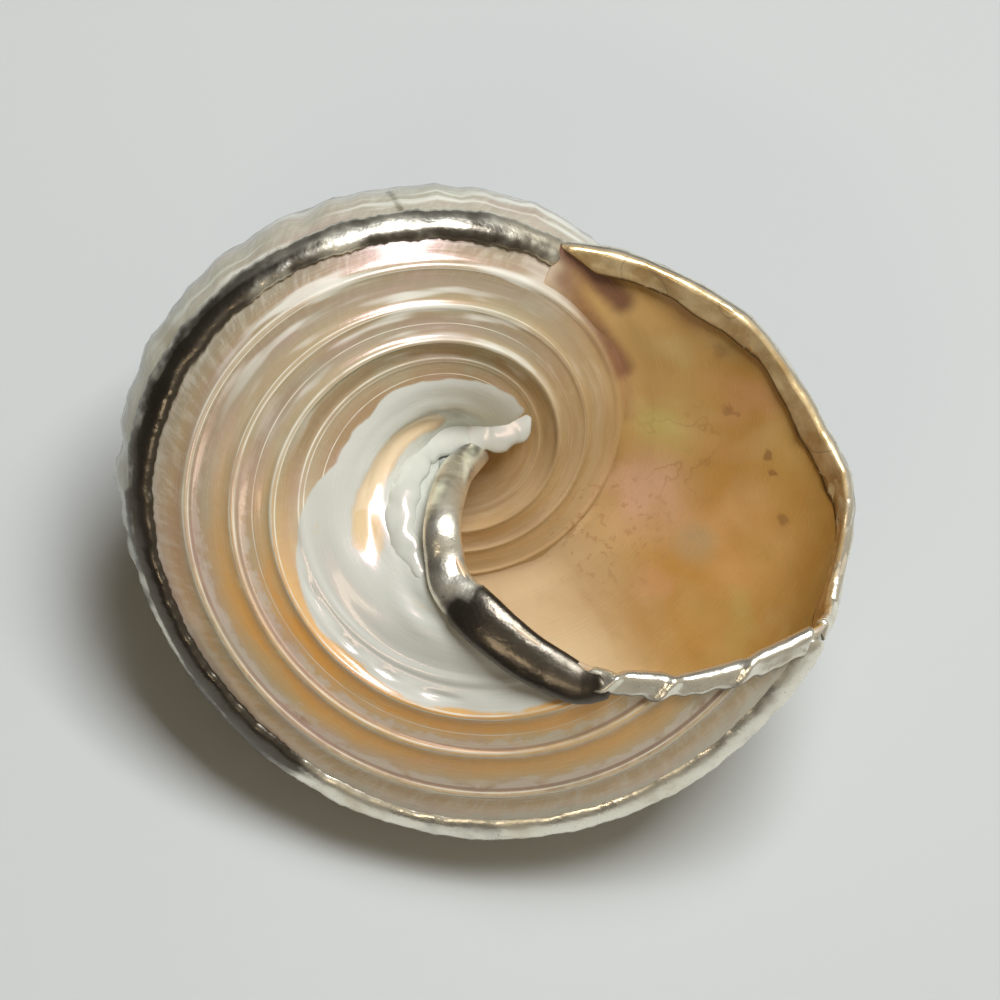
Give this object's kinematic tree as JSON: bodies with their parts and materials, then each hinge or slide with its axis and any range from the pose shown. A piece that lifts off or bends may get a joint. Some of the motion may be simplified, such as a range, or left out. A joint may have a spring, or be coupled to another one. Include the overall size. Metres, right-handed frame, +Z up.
{
  "type": "polished turban shell with silvered rim",
  "caption": "Polished pearly sea snail shell lying mouth up, with its keel and lip edged in silver; a decorative dish or specimen.",
  "frame": {"origin": "on the table, under the middle of the shell's bounding box", "axes": "+Z up; -Y is the side that the base of the shell leans towards; +X is the side of the outer lip"},
  "size_m": [0.0852, 0.0682, 0.0513],
  "materials": {
    "nacre": "polished mother of pearl with a soft pink, green and gold sheen",
    "silver": "thin silver leaf, bright but uneven, with small creases and tarnish"
  },
  "bodies": {
    "root": {"shell": "nacre", "keel_band": "silver", "outer_lip_band": "silver", "basal_lip_band": "silver", "columella_band": "silver"}
  },
  "joints": []
}
